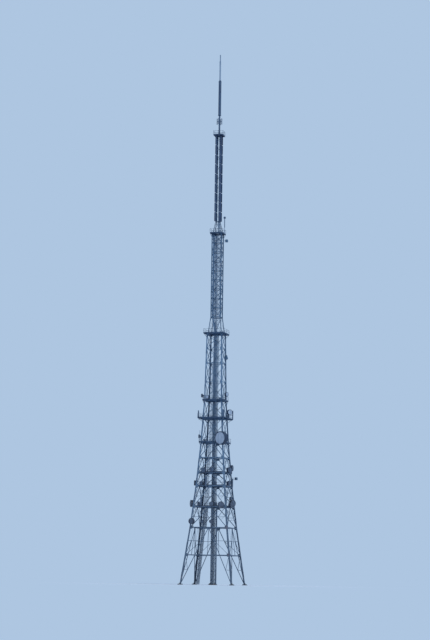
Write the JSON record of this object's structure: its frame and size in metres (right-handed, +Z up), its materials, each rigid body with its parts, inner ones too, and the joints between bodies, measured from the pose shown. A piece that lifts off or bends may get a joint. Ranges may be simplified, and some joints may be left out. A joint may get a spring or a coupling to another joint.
{
  "type": "1:10 scale model of a self-supporting lattice broadcast tower",
  "caption": "Four-legged tapering lattice radio tower with ring decks, dishes and a feeder column, under a square mast, a panel antenna and a spire.",
  "frame": {"origin": "centre of the underside of the feeder column's foot, on the ground, in the middle of the tower", "axes": "+Z up the tower; +X and +Y square to two of its sides; the picture looks from -Y, a little to the right"},
  "size_m": [1.594, 1.594, 15.24],
  "materials": {
    "leg_steel": "weathered galvanised steel",
    "bracing_steel": "weathered galvanised steel",
    "column_steel": "dull, dark with feeders",
    "deck_steel": "weathered steel grating",
    "mast_steel": "weathered galvanised steel",
    "base_steel": "thick galvanised plate",
    "panel_shell": "weathered glass fibre",
    "spire_steel": "painted",
    "spire_shell": "weathered glass fibre",
    "whip_shell": "pale glass fibre",
    "dish_shell": "weathered paint",
    "aerial_shell": "weathered glass fibre"
  },
  "bodies": {
    "root": {"leg_front_left": "leg_steel", "leg_front_right": "leg_steel", "leg_back_right": "leg_steel", "leg_back_left": "leg_steel", "leg_base_plates": "base_steel", "column_foot": "base_steel", "base_side_front": "bracing_steel", "base_side_right": "bracing_steel", "base_side_back": "bracing_steel", "base_side_left": "bracing_steel", "lower_side_front": "bracing_steel", "lower_side_right": "bracing_steel", "lower_side_back": "bracing_steel", "lower_side_left": "bracing_steel", "middle_side_front": "bracing_steel", "middle_side_right": "bracing_steel", "middle_side_back": "bracing_steel", "middle_side_left": "bracing_steel", "neck_sides_front_back": "bracing_steel", "neck_sides_left_right": "bracing_steel", "shaft_sides_front_back": "bracing_steel", "shaft_sides_left_right": "bracing_steel", "feeder_column": "column_steel", "first_deck": "deck_steel", "second_deck": "deck_steel", "third_deck": "deck_steel", "fourth_deck": "deck_steel", "fifth_deck": "deck_steel", "sixth_deck": "deck_steel", "seventh_deck": "deck_steel", "eighth_deck": "deck_steel", "top_deck": "deck_steel", "mast_seat": "mast_steel", "upper_mast": "mast_steel", "panel_seat": "mast_steel", "panel_mast": "mast_steel", "antenna_panels": "panel_shell", "spire_pole": "spire_steel", "spire": "spire_shell", "whip": "whip_shell", "large_dish": "dish_shell", "upper_dishes": "dish_shell", "middle_dishes": "dish_shell", "lower_dishes": "dish_shell", "panel_aerials": "aerial_shell", "whip_aerials": "whip_shell"}
  },
  "joints": []
}
